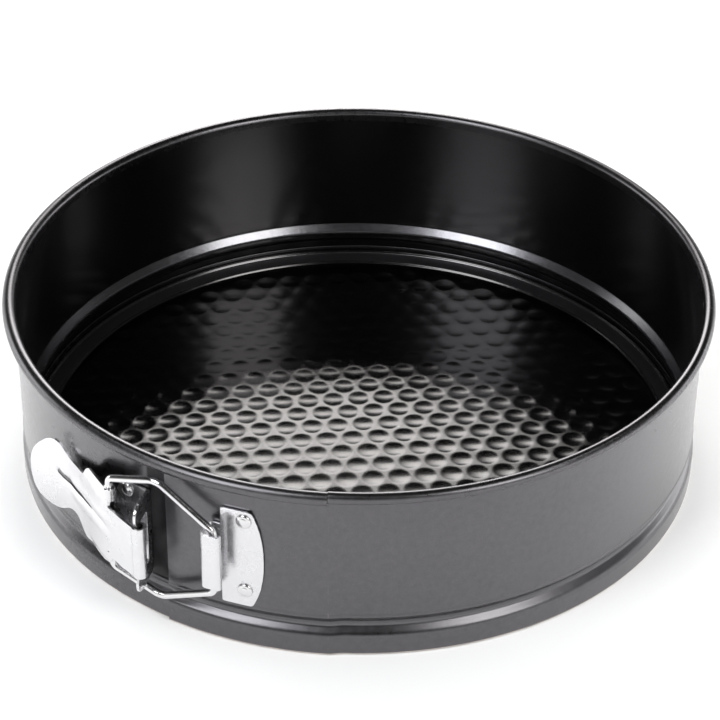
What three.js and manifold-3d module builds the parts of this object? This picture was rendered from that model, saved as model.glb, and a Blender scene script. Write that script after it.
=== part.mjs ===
// Springform cake pan, 260 mm: a loose dished base, a sprung band that closes round it, and an
// over-centre wire latch. Millimetres, +Z up. The origin is the centre of the underside.
// The latch faces -Y. Azimuths are in degrees, anticlockwise from +X seen from above.
import * as THREE from "three";
import { mergeVertices } from "three/addons/utils/BufferGeometryUtils.js";
import Module from "manifold-3d";

const wasm = await Module();
wasm.setup();

// ---------------------------------------------------------------- shared dimensions
const SEGMENTS = 72; // facets round the pan
const SHEET = 0.6; // band sheet thickness
const R_WALL = 129.7; // outside radius of the band's straight wall
const LAP = 0.9; // how far the outer end of the band stands outside the inner end
const GAP = 0.3; // clearance between resting neighbours

const Z_BAR = 37.4; // mid height of the hinge bracket and the lever's barrel
const Z_LATCH = 38.3; // mid height of the lever's ears and the hook

// The latch's three upright axes: distance off the wall, and azimuth.
const LEVER_PIVOT = { out: 12.0, az: -87.0 }; // lever on its bracket
const BAIL_PIVOT = { out: 8.2, az: -93.3 }; // bail in the lever's knuckles
const HOOK_PIVOT = { out: 6.6, az: -75.95 }; // bail in the hook

const HINGE_RIVETS = { az: -92.5, heights: { upper: 51.3, lower: 23.6 } };
const CATCH_RIVETS = { az: -71.9, heights: { upper: 55.3, lower: 25.0 } };

const FINISH = {
  base: { color: 0x2b2a2b, roughness: 0.35, metalness: 0.6 },
  band: { color: 0x4a484a, roughness: 0.42, metalness: 0.7 },
  steel: { color: 0xe2e2e4, roughness: 0.2, metalness: 1 },
  wire: { color: 0xe2e2e4, roughness: 0.15, metalness: 1 },
};

// ---------------------------------------------------------------- points and outlines
const radians = THREE.MathUtils.degToRad;
const vectors = (pairs) => pairs.map(([x, y]) => new THREE.Vector2(x, y));
const atHeight = (plan, z) => new THREE.Vector3(plan.x, plan.y, z);

function polar(radius, azimuth) {
  const angle = radians(azimuth);
  return new THREE.Vector2(radius * Math.cos(angle), radius * Math.sin(angle));
}

const pivotPlan = ({ out, az }) => polar(R_WALL + out, az);

// Unit directions at an azimuth: out from the axis, and along the wall, anticlockwise.
const wallFrame = (azimuth) => ({ out: polar(1, azimuth), along: polar(1, azimuth + 90) });

// Returns a function from (distance along the tangent, distance off the wall) to a plan point.
function wallPlan(azimuth) {
  const frame = wallFrame(azimuth);
  return (along, off) =>
    new THREE.Vector2()
      .addScaledVector(frame.out, R_WALL + off)
      .addScaledVector(frame.along, along);
}

// An outline from [x, half height] stations that end at its far tip, about a mid height
// which may vary with x.
const mirrored = (stations, midHeight) => [
  ...stations.map(([x, half]) => [x, midHeight(x) + half]),
  ...stations
    .slice(0, -1)
    .map(([x, half]) => [x, midHeight(x) - half])
    .reverse(),
];

// ---------------------------------------------------------------- solids
function solid(geometry) {
  // Normals and texture coordinates would keep coincident corners apart.
  geometry.deleteAttribute("normal");
  geometry.deleteAttribute("uv");
  const merged = mergeVertices(geometry, 1e-4);
  const vertProperties = new Float32Array(merged.attributes.position.array);
  const triVerts = new Uint32Array(merged.index.array);
  const build = () =>
    new wasm.Manifold(new wasm.Mesh({ numProp: 3, vertProperties, triVerts }));
  const made = build();
  if (made.volume() >= 0) return made;
  // Inside out: turn every triangle over.
  for (let i = 0; i < triVerts.length; i += 3) {
    [triVerts[i + 1], triVerts[i + 2]] = [triVerts[i + 2], triVerts[i + 1]];
  }
  return build();
}

// A [radius, z] profile that starts and ends on the axis, turned about Z.
function turned(profile, segments = SEGMENTS) {
  const geometry = new THREE.LatheGeometry(vectors(profile), segments);
  geometry.rotateX(Math.PI / 2);
  return solid(geometry);
}

// A closed [radius, z] profile clear of the axis, turned about Z.
const turnedRing = (profile, segments) => turned([...profile, profile[0]], segments);

const extruded = (outline, depth) =>
  new THREE.ExtrudeGeometry(new THREE.Shape(outline), { depth, bevelEnabled: false });

// A closed plan outline raised from z0 to z1.
function prism(outline, z0, z1) {
  const geometry = extruded(outline, z1 - z0);
  geometry.translate(0, 0, z0);
  return solid(geometry);
}

// The slice of space between two azimuths, going anticlockwise, larger than the pan.
function wedge(start, end) {
  const outline = [new THREE.Vector2(0, 0)];
  const steps = Math.max(2, Math.ceil((end - start) / 20));
  for (let i = 0; i <= steps; i++) {
    outline.push(polar(190, start + ((end - start) * i) / steps));
  }
  return prism(outline, -5, 90);
}

// A curved plate lying round the pan between two radii, cut to an outline of [azimuth, z] corners.
function wallPlate(innerR, outerR, outline) {
  const height = 72;
  const shell = turnedRing([[innerR, 0], [outerR, 0], [outerR, height], [innerR, height]], 180);
  // The outline is drawn on the tangent plane at its mean azimuth, then pushed out through the
  // shell: local x runs along the tangent, y up and z outward.
  const middle = outline.reduce((sum, [az]) => sum + az, 0) / outline.length;
  const meanR = (innerR + outerR) / 2;
  const flat = outline.map(([az, z]) => [meanR * Math.sin(radians(az - middle)), z]);
  const { out, along } = wallFrame(middle);
  const placement = new THREE.Matrix4()
    .makeBasis(atHeight(along, 0), new THREE.Vector3(0, 0, 1), atHeight(out, 0))
    .setPosition(out.x * 100, out.y * 100, 0);
  return shell.intersect(solid(extruded(vectors(flat), 60).applyMatrix4(placement)));
}

// A round bar between two points.
function bar(start, end, radius, sides) {
  const span = new THREE.Vector3().subVectors(end, start);
  const geometry = new THREE.CylinderGeometry(radius, radius, span.length(), sides);
  const turn = new THREE.Quaternion();
  turn.setFromUnitVectors(new THREE.Vector3(0, 1, 0), span.normalize());
  geometry.applyQuaternion(turn);
  geometry.translate((start.x + end.x) / 2, (start.y + end.y) / 2, (start.z + end.z) / 2);
  return solid(geometry);
}

const uprightBar = (plan, z0, z1, radius, sides) =>
  bar(atHeight(plan, z0), atHeight(plan, z1), radius, sides);

// ---------------------------------------------------------------- band
const R_SKIRT = 130.55; // outside radius of the skirt below the groove
const R_GROOVE = 127.6; // outside radius at the bottom of the pressed groove
const Z_SKIRT = 8.2; // top of the straight skirt
const Z_WALL = 16.8; // start of the straight wall
const RIM_R = 131.5; // rolled rim: radius of the roll's centre
const RIM_Z = 69.75; // rolled rim: height of the roll's centre
const RIM_T = 2.3; // rolled rim: half thickness of the roll
const RIM_ANGLES = [-142, -100, -60, -20, 20, 60, 100, 140, 180]; // facet corners of the roll
const RIM_JOIN_Z = 69.0; // where the roll meets the wall's inner face
const LAP_TOP = 66.9; // top edge of the outer end, under the inner end's rim
const HEM_R = 129.3; // inside radius of the folded bottom hem
const HEM_TOP = 0.9;

const AZ_TIP = -85.25; // edge of the outer end of the band
const AZ_INNER_END = -59.6; // edge of the inner end of the band
const AZ_JOGGLE = [-59.25, -58.2]; // where the outer end steps out
const JOGGLE_OVERLAP = 0.3; // degrees by which its neighbours run into it
const AZ_BACK = 92; // the band's flexing line, opposite the latch
const BACK_GAP = 0.1; // half the gap between the band's halves there, degrees

// Faces of the sheet as [radius, z]: the outer one upward, the inner one downward.
const OUTER_FACE = [
  [R_SKIRT, 0],
  [R_SKIRT, Z_SKIRT],
  [R_SKIRT - 0.35, 9.0],
  [R_GROOVE + 0.15, 10.6],
  [R_GROOVE, 11.2],
  [R_GROOVE, 13.0],
  [R_GROOVE + 0.2, 13.6],
  [R_WALL - 0.2, 16.0],
  [R_WALL, Z_WALL],
];
const INNER_FACE = OUTER_FACE.slice(1)
  .reverse()
  .map(([radius, z]) => [radius - SHEET, z]);
const HEM = [
  [R_SKIRT - SHEET, HEM_TOP],
  [HEM_R, HEM_TOP],
  [HEM_R, 0],
];
// The same faces carried up to the rimless top edge of the outer end.
const LAP_OUTER_FACE = [...OUTER_FACE, [R_WALL, LAP_TOP]];
const LAP_INNER_FACE = [[R_WALL - SHEET, LAP_TOP], ...INNER_FACE];

const steppedOut = (points) => points.map(([radius, z]) => [radius + LAP, z]);

// The plain section, with rolled rim and hem.
function rimmedRing() {
  const roll = RIM_ANGLES.map((degrees) => [
    RIM_R + RIM_T * Math.cos(radians(degrees)),
    RIM_Z + RIM_T * Math.sin(radians(degrees)),
  ]);
  return turnedRing([...OUTER_FACE, ...roll, [R_WALL - SHEET, RIM_JOIN_Z], ...INNER_FACE, ...HEM]);
}

// The stepped section of the outer end, without rim or hem.
const lapRing = () =>
  turnedRing(steppedOut([...LAP_OUTER_FACE, ...LAP_INNER_FACE, [R_SKIRT - SHEET, 0]]));

// The joggle fills between the plain section and the stepped one.
const joggleRing = () =>
  turnedRing([...steppedOut(LAP_OUTER_FACE), ...LAP_INNER_FACE, ...HEM]);

function bandLeft() {
  const half = rimmedRing().intersect(wedge(AZ_BACK + BACK_GAP, 360 + AZ_INNER_END));
  return drilled(half, HINGE_RIVETS);
}

function bandRight() {
  const [joggleStart, joggleEnd] = AZ_JOGGLE;
  const half = rimmedRing()
    .intersect(wedge(joggleEnd - JOGGLE_OVERLAP, AZ_BACK - BACK_GAP))
    .add(joggleRing().intersect(wedge(joggleStart, joggleEnd)))
    .add(lapRing().intersect(wedge(AZ_TIP, joggleStart + JOGGLE_OVERLAP)));
  return drilled(half, CATCH_RIVETS);
}

// ---------------------------------------------------------------- base
const BASE_FLOOR_R = 121.8; // dished floor
const BASE_FLANGE_R = 126.6; // start of the flat edge
const BASE_R = 128.9; // edge of the base
const BASE_T = 1.0; // base sheet thickness
const BASE_LIFT = 3.5; // top of the base's flat edge
const BASE_BEND = 0.5; // how much farther out the underside bends than the top

const basePlate = () =>
  turned([
    [0, 0],
    [BASE_FLOOR_R + BASE_BEND, 0],
    [BASE_FLANGE_R + BASE_BEND, BASE_LIFT - BASE_T],
    [BASE_R, BASE_LIFT - BASE_T],
    [BASE_R, BASE_LIFT],
    [BASE_FLANGE_R, BASE_LIFT],
    [BASE_FLOOR_R, BASE_T],
    [0, BASE_T],
  ]);

// ---------------------------------------------------------------- rivets
const RIVET_SHANK = 1.3;
const RIVET_HOLE = 1.45;
// [radius, distance out from the plate's outer face]
const RIVET_DOME = [[RIVET_SHANK, 0.15], [2.75, 0.15], [2.6, 0.6], [1.6, 1.1], [0, 1.3]];
// [radius, distance out from the band's inner face]
const LOW_HEAD = [[0, -0.7], [1.9, -0.7], [2.1, -0.15], [RIVET_SHANK, -0.15]];
const FLUSH_END = [[0, 0.05], [RIVET_SHANK, 0.05]]; // where the band laps behind it

// Domed head outside, shank through plate and band, and the given inside end.
function rivet(azimuth, z, { plateR, bandR, insideEnd }) {
  const profile = [
    ...insideEnd.map(([radius, off]) => [radius, bandR + off]),
    ...RIVET_DOME.map(([radius, off]) => [radius, plateR + off]),
  ];
  const { out, along } = wallFrame(azimuth);
  // The lathe's y axis becomes the outward one.
  const placement = new THREE.Matrix4()
    .makeBasis(atHeight(along.negate(), 0), atHeight(out, 0), new THREE.Vector3(0, 0, 1))
    .setPosition(0, 0, z);
  return solid(new THREE.LatheGeometry(vectors(profile), 14).applyMatrix4(placement));
}

// The part with a hole through the wall for each rivet.
function drilled(part, { az, heights }) {
  const inside = polar(120, az);
  const outside = polar(140, az);
  return Object.values(heights).reduce(
    (cut, z) => cut.subtract(bar(atHeight(inside, z), atHeight(outside, z), RIVET_HOLE, 16)),
    part,
  );
}

const rivetMeshes = (prefix, { az, heights }, fit) =>
  Object.entries(heights).map(([place, z]) =>
    piece(`${prefix}_rivet_${place}`, rivet(az, z, fit), FINISH.steel),
  );

// ---------------------------------------------------------------- hinge bracket
const HINGE_IN = R_WALL + GAP;
const HINGE_OUT = HINGE_IN + 0.9; // plus the bracket's sheet
const BRACKET_H = 17.4; // half its height at the wall
const FLANGE_T = 1.0; // its standing flange, which holds the lever
const FLANGE_H = 16.5; // half the flange's height
const FLANGE_SINK = 0.3; // how far the flange starts inside the plate
const FLANGE_BAR = 1.1; // half width of the flange's outer bar, on the lever pivot
const WINDOW_H = 11.3; // half height of the flange's window round the barrel
const WINDOW_OFF = 3.6; // inner edge of the window, off the wall

// [azimuth, half height], from the flange to the plate's rounded end.
const BRACKET_HALF = [
  [LEVER_PIVOT.az + 0.2, BRACKET_H],
  [-92.2, BRACKET_H],
  [-94.2, 14.5],
  [-95.3, 8],
  [-95.6, 0],
];

function hingeBracket() {
  const plan = wallPlan(LEVER_PIVOT.az);
  const block = (off0, off1, halfT, halfH) => {
    const corners = [[-halfT, off0], [-halfT, off1], [halfT, off1], [halfT, off0]];
    const outline = corners.map(([along, off]) => plan(along, off));
    return prism(outline, Z_BAR - halfH, Z_BAR + halfH);
  };
  const { out } = LEVER_PIVOT;
  const sheet = block(GAP + FLANGE_SINK, out + FLANGE_BAR, FLANGE_T / 2, FLANGE_H);
  const flange = sheet.subtract(block(WINDOW_OFF, out - FLANGE_BAR, 2, WINDOW_H));
  const plate = wallPlate(HINGE_IN, HINGE_OUT, mirrored(BRACKET_HALF, () => Z_BAR));
  return drilled(plate.add(flange), HINGE_RIVETS);
}

// ---------------------------------------------------------------- lever
const LEVER_T = 0.9; // lever sheet
const LEVER_STEPS = 22; // facets along its centre line
const BARREL_R = 2.35; // lever's rolled barrel, outside
const BARREL_BORE = 1.65; // and inside
const BARREL_H = 10.85; // half its height
const BARREL_END_X = -6.8; // mid height is the barrel's at greater X, the latch's at less
const KNUCKLE_R = 2.1; // lever's knuckles round the bail's ends
const KNUCKLE_BORE = 1.4;
const KNUCKLE_SPAN = [12.1, 15.6]; // their ends, above and below the latch's mid height

// [x, y] of the sheet's centre line, from the barrel out to the thumb tab.
const LEVER_LINE = [
  [6.9, -143.3], [-0.6, -141.4], [-11.3, -138.2], [-16.4, -136.0],
  [-24.1, -131.9], [-29.5, -129.2], [-35.4, -127.0], [-39.8, -125.9],
  [-43.8, -125.4], [-48.0, -125.5], [-52.0, -126.0], [-55.9, -126.5],
];
// [x, half height] along the lever.
const LEVER_HALF = [
  [7.5, BARREL_H], [-6.6, BARREL_H], [-7.0, 15.4], [-12, 15.9], [-17, 15.9], [-21.5, 15.2],
  [-22.6, 14.6], [-24.6, 10.9], [-28, 10.2], [-33, 10.5], [-37, 11.6], [-41, 13.2],
  [-45, 13.7], [-49, 12.6], [-52, 10.2], [-54, 7.2], [-55.3, 3.6], [-55.7, 0],
];

// The bent sheet, full height, before its outline is cut.
function leverStrip() {
  const points = LEVER_LINE.map(([x, y]) => new THREE.Vector3(x, y, 0));
  const line = new THREE.CatmullRomCurve3(points, false, "centripetal");
  const outerSide = [];
  const innerSide = [];
  line.getSpacedPoints(LEVER_STEPS).forEach(({ x, y }, i) => {
    const tangent = line.getTangentAt(i / LEVER_STEPS);
    const shiftX = (-tangent.y * LEVER_T) / 2;
    const shiftY = (tangent.x * LEVER_T) / 2;
    outerSide.push(new THREE.Vector2(x + shiftX, y + shiftY));
    innerSide.push(new THREE.Vector2(x - shiftX, y - shiftY));
  });
  return prism([...outerSide, ...innerSide.reverse()], Z_LATCH - 20, Z_LATCH + 20);
}

// The lever's outline in X and Z, pushed through along Y.
function leverOutline() {
  const outline = mirrored(LEVER_HALF, (x) => (x > BARREL_END_X ? Z_BAR : Z_LATCH));
  const geometry = extruded(vectors(outline), 60);
  geometry.rotateX(Math.PI / 2);
  geometry.translate(0, -100, 0);
  return solid(geometry);
}

function latchLever() {
  const pin = pivotPlan(LEVER_PIVOT);
  let lever = leverStrip()
    .intersect(leverOutline())
    .add(uprightBar(pin, Z_BAR - BARREL_H, Z_BAR + BARREL_H, BARREL_R, 16))
    .subtract(uprightBar(pin, Z_BAR - 30, Z_BAR + 30, BARREL_BORE, 16));
  const wire = pivotPlan(BAIL_PIVOT);
  for (const side of [-1, 1]) {
    const [near, far] = KNUCKLE_SPAN.map((height) => Z_LATCH + side * height);
    lever = lever
      .add(uprightBar(wire, near, far, KNUCKLE_R, 14))
      .subtract(uprightBar(wire, near - side, far + side, KNUCKLE_BORE, 14));
  }
  return lever;
}

// ---------------------------------------------------------------- bail
const WIRE_R = 1.15;
const BAIL_END = 11.9; // half the gap between the wire's ends
// [fraction of the way from lever to hook, upper z, lower z]
const BAIL_STATIONS = [
  [0, Z_LATCH + BAIL_END, Z_LATCH - BAIL_END],
  [0, 59.0, 20.9],
  [0.47, 65.2, 14.3],
  [1, 52.1, 24.6],
];

// One hexagonal loop of wire, open behind the lever, lying in an upright plane.
function wireBail() {
  const leverEnd = pivotPlan(BAIL_PIVOT);
  const hookEnd = pivotPlan(HOOK_PIVOT);
  const corner = (fraction, z) =>
    atHeight(new THREE.Vector2().lerpVectors(leverEnd, hookEnd, fraction), z);
  const corners = [
    ...BAIL_STATIONS.map(([fraction, upper]) => corner(fraction, upper)),
    ...BAIL_STATIONS.map(([fraction, , lower]) => corner(fraction, lower)).reverse(),
  ];
  const length = (i) => bar(corners[i], corners[i + 1], WIRE_R, 10);
  let bail = length(0);
  for (let i = 1; i + 1 < corners.length; i++) {
    const elbow = new THREE.SphereGeometry(WIRE_R, 10, 6);
    elbow.translate(...corners[i].toArray());
    bail = bail.add(length(i)).add(solid(elbow));
  }
  return bail;
}

// ---------------------------------------------------------------- catch bracket
const CATCH_T = 0.8; // catch bracket sheet
const CATCH_IN = R_WALL + LAP + GAP;
const CATCH_OUT = CATCH_IN + CATCH_T;
const CATCH_OUTLINE = [ // [azimuth, z]
  [-75.65, 18.0], [-75.65, 59.2], [-70.9, 59.2],
  [-69.9, 54.5], [-69.1, 47], [-68.9, 38.6],
  [-69.1, 30], [-69.9, 22.6], [-70.9, 18.0],
];
const HOOK_AZ = -76.3;
const HOOK_H = 12.2; // half the hook's height
const HOOK_HALF_W = 3.85; // half width of the roll
const HOOK_DEPTH = 8.9; // its outer face, out from the plate's inner face
const HOOK_R = 2.2; // its two left corners, outside
const LIP_R = 1.6; // the curl at its mouth, outside
const LIP_ANGLE = 20; // where the curl stops
const TONGUE_INSET = 0.12; // tongue's inner face, out from the plate's
const TONGUE_ROOT = 1.4; // how far the tongue runs right of the roll, over the plate

// The tongue runs left off the plate, curls out and comes back over the bail's leg;
// its mouth faces the plate.
function hook() {
  const plan = wallPlan(HOOK_AZ);
  const tongue = CATCH_IN - R_WALL + TONGUE_INSET;
  const top = CATCH_IN - R_WALL + HOOK_DEPTH;
  const rootX = HOOK_HALF_W + TONGUE_ROOT;
  const cornerX = -HOOK_HALF_W + HOOK_R;
  const arc = (x, off, radius, start, end, steps) =>
    Array.from({ length: steps + 1 }, (_, i) => {
      const angle = radians(start + ((end - start) * i) / steps);
      return plan(x + radius * Math.cos(angle), off + radius * Math.sin(angle));
    });
  const nearCorner = (radius, start, end) =>
    arc(cornerX, tongue + HOOK_R, radius, start, end, 4);
  const farCorner = (radius, start, end) => arc(cornerX, top - HOOK_R, radius, start, end, 4);
  const lip = (radius, start, end) =>
    arc(HOOK_HALF_W - LIP_R, top - LIP_R, radius, start, end, 3);
  const outline = [
    plan(rootX, tongue),
    ...nearCorner(HOOK_R, 270, 180),
    ...farCorner(HOOK_R, 180, 90),
    ...lip(LIP_R, 90, LIP_ANGLE),
    ...lip(LIP_R - CATCH_T, LIP_ANGLE, 90),
    ...farCorner(HOOK_R - CATCH_T, 90, 180),
    ...nearCorner(HOOK_R - CATCH_T, 180, 270),
    plan(rootX, tongue + CATCH_T),
  ];
  return prism(outline, Z_LATCH - HOOK_H, Z_LATCH + HOOK_H);
}

const catchBracket = () =>
  drilled(wallPlate(CATCH_IN, CATCH_OUT, CATCH_OUTLINE).add(hook()), CATCH_RIVETS);

// ---------------------------------------------------------------- assembly
function piece(name, part, finish) {
  const { vertProperties, triVerts } = part.getMesh();
  const geometry = new THREE.BufferGeometry()
    .setAttribute("position", new THREE.Float32BufferAttribute(vertProperties, 3))
    .setIndex(new THREE.Uint32BufferAttribute(triVerts, 1));
  const material = new THREE.MeshStandardMaterial({ ...finish, flatShading: true });
  const mesh = new THREE.Mesh(geometry, material);
  mesh.name = name;
  return mesh;
}

const baseGroup = new THREE.Group().add(piece("base_plate", basePlate(), FINISH.base));

const bandGroup = new THREE.Group().add(
  piece("band_left", bandLeft(), FINISH.band),
  piece("band_right", bandRight(), FINISH.band),
);

const hingeFit = { plateR: HINGE_OUT, bandR: R_WALL - SHEET, insideEnd: LOW_HEAD };
const catchFit = { plateR: CATCH_OUT, bandR: R_WALL + LAP - SHEET, insideEnd: FLUSH_END };
const latchGroup = new THREE.Group().add(
  piece("hinge_bracket", hingeBracket(), FINISH.steel),
  ...rivetMeshes("hinge", HINGE_RIVETS, hingeFit),
  piece("latch_lever", latchLever(), FINISH.steel),
  piece("wire_bail", wireBail(), FINISH.wire),
  piece("catch_bracket", catchBracket(), FINISH.steel),
  ...rivetMeshes("catch", CATCH_RIVETS, catchFit),
);

const pan = new THREE.Group();
pan.name = "springform_pan";
pan.add(baseGroup, bandGroup, latchGroup);
export default pan;
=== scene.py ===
import json
import math

import bpy
import numpy as np
from mathutils import Matrix, Vector


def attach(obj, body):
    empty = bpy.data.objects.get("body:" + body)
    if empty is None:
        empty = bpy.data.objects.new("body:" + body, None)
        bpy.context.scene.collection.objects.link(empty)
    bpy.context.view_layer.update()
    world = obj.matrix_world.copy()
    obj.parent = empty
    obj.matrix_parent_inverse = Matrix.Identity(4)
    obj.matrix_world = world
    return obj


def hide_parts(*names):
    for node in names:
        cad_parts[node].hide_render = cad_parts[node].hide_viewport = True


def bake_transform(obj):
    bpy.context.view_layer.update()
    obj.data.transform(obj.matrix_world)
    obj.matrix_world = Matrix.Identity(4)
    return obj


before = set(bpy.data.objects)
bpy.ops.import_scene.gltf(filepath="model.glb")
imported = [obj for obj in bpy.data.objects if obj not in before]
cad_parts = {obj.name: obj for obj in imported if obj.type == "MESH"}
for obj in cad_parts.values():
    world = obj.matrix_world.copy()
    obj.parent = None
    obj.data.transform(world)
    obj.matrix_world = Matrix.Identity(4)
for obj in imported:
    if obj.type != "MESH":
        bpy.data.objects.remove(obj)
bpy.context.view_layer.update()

# ------------------------------------------------------------------ dimensions, mm
SHEET = 0.6
R_WALL = 129.7
LAP = 0.9
LAP_TOP = 66.9
AZ_TIP, AZ_INNER_END, AZ_RIM_START = -85.25, -59.6, -59.25
Z_BAR, Z_LATCH = 37.4, 38.3
WIRE_R = 1.34


def pol(r, az):
    a = math.radians(az)
    return np.array([r * math.cos(a), r * math.sin(a)])


A = pol(R_WALL + 12.0, -87.0)
B = pol(R_WALL + 8.2, -93.3)
C = pol(R_WALL + 6.6, -75.95)


def smooth(x, a, b):
    t = np.clip((np.asarray(x, float) - a) / (b - a), 0, 1)
    return t * t * (3 - 2 * t)


# ------------------------------------------------------------------ materials
class Mat:
    def __init__(self, name):
        self.m = bpy.data.materials.new(name)
        self.m.use_nodes = True
        self.t = self.m.node_tree
        self.t.nodes.clear()
        self.out = self.n("ShaderNodeOutputMaterial")
        self.p = self.n("ShaderNodeBsdfPrincipled")
        self.link(self.p.outputs[0], self.out.inputs[0])
        self.co = self.n("ShaderNodeTexCoord").outputs["Object"]

    def n(self, kind, **props):
        node = self.t.nodes.new(kind)
        for k, v in props.items():
            setattr(node, k, v)
        return node

    def link(self, a, b):
        if hasattr(a, "links"):
            self.t.links.new(a, b)
        else:
            b.default_value = a
        return b

    def noise(self, scale, detail=3.0, rough=0.5, vector=None, distortion=0.0):
        n = self.n("ShaderNodeTexNoise")
        self.link(self.co if vector is None else vector, n.inputs["Vector"])
        n.inputs["Scale"].default_value = scale
        n.inputs["Detail"].default_value = detail
        n.inputs["Roughness"].default_value = rough
        n.inputs["Distortion"].default_value = distortion
        return n.outputs[0]

    def voronoi(self, scale):
        n = self.n("ShaderNodeTexVoronoi")
        self.link(self.co, n.inputs["Vector"])
        n.inputs["Scale"].default_value = scale
        return n.outputs[0]

    def math(self, op, a, b=0.0, clamp=False):
        n = self.n("ShaderNodeMath", operation=op, use_clamp=clamp)
        self.link(a, n.inputs[0])
        self.link(b, n.inputs[1])
        return n.outputs[0]

    def range(self, v, a, b, c, d):
        n = self.n("ShaderNodeMapRange")
        self.link(v, n.inputs[0])
        for i, x in enumerate((a, b, c, d)):
            self.link(x, n.inputs[i + 1])
        return n.outputs[0]

    def mix(self, f, a, b):
        n = self.n("ShaderNodeMix", data_type="RGBA")
        self.link(f, n.inputs[0])
        self.link(a if hasattr(a, "links") else (*a, 1.0), n.inputs[6])
        self.link(b if hasattr(b, "links") else (*b, 1.0), n.inputs[7])
        return n.outputs[2]

    def bump(self, height, strength, distance, prev=None):
        n = self.n("ShaderNodeBump")
        n.inputs["Strength"].default_value = strength
        n.inputs["Distance"].default_value = distance
        self.link(height, n.inputs["Height"])
        if prev is not None:
            self.link(prev, n.inputs["Normal"])
        return n.outputs[0]

    def around(self, su, sv):
        """Coordinates that run round the pan and up it, stretched by su and sv."""
        s = self.n("ShaderNodeSeparateXYZ")
        self.link(self.co, s.inputs[0])
        ang = self.math("ARCTAN2", s.outputs[1], s.outputs[0])
        c = self.n("ShaderNodeCombineXYZ")
        self.link(self.math("MULTIPLY", ang, su), c.inputs[0])
        self.link(self.math("MULTIPLY", s.outputs[2], sv), c.inputs[1])
        return c.outputs[0]

    def set(self, **kw):
        for k, v in kw.items():
            self.link(v, self.p.inputs[k.replace("_", " ")])


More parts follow.
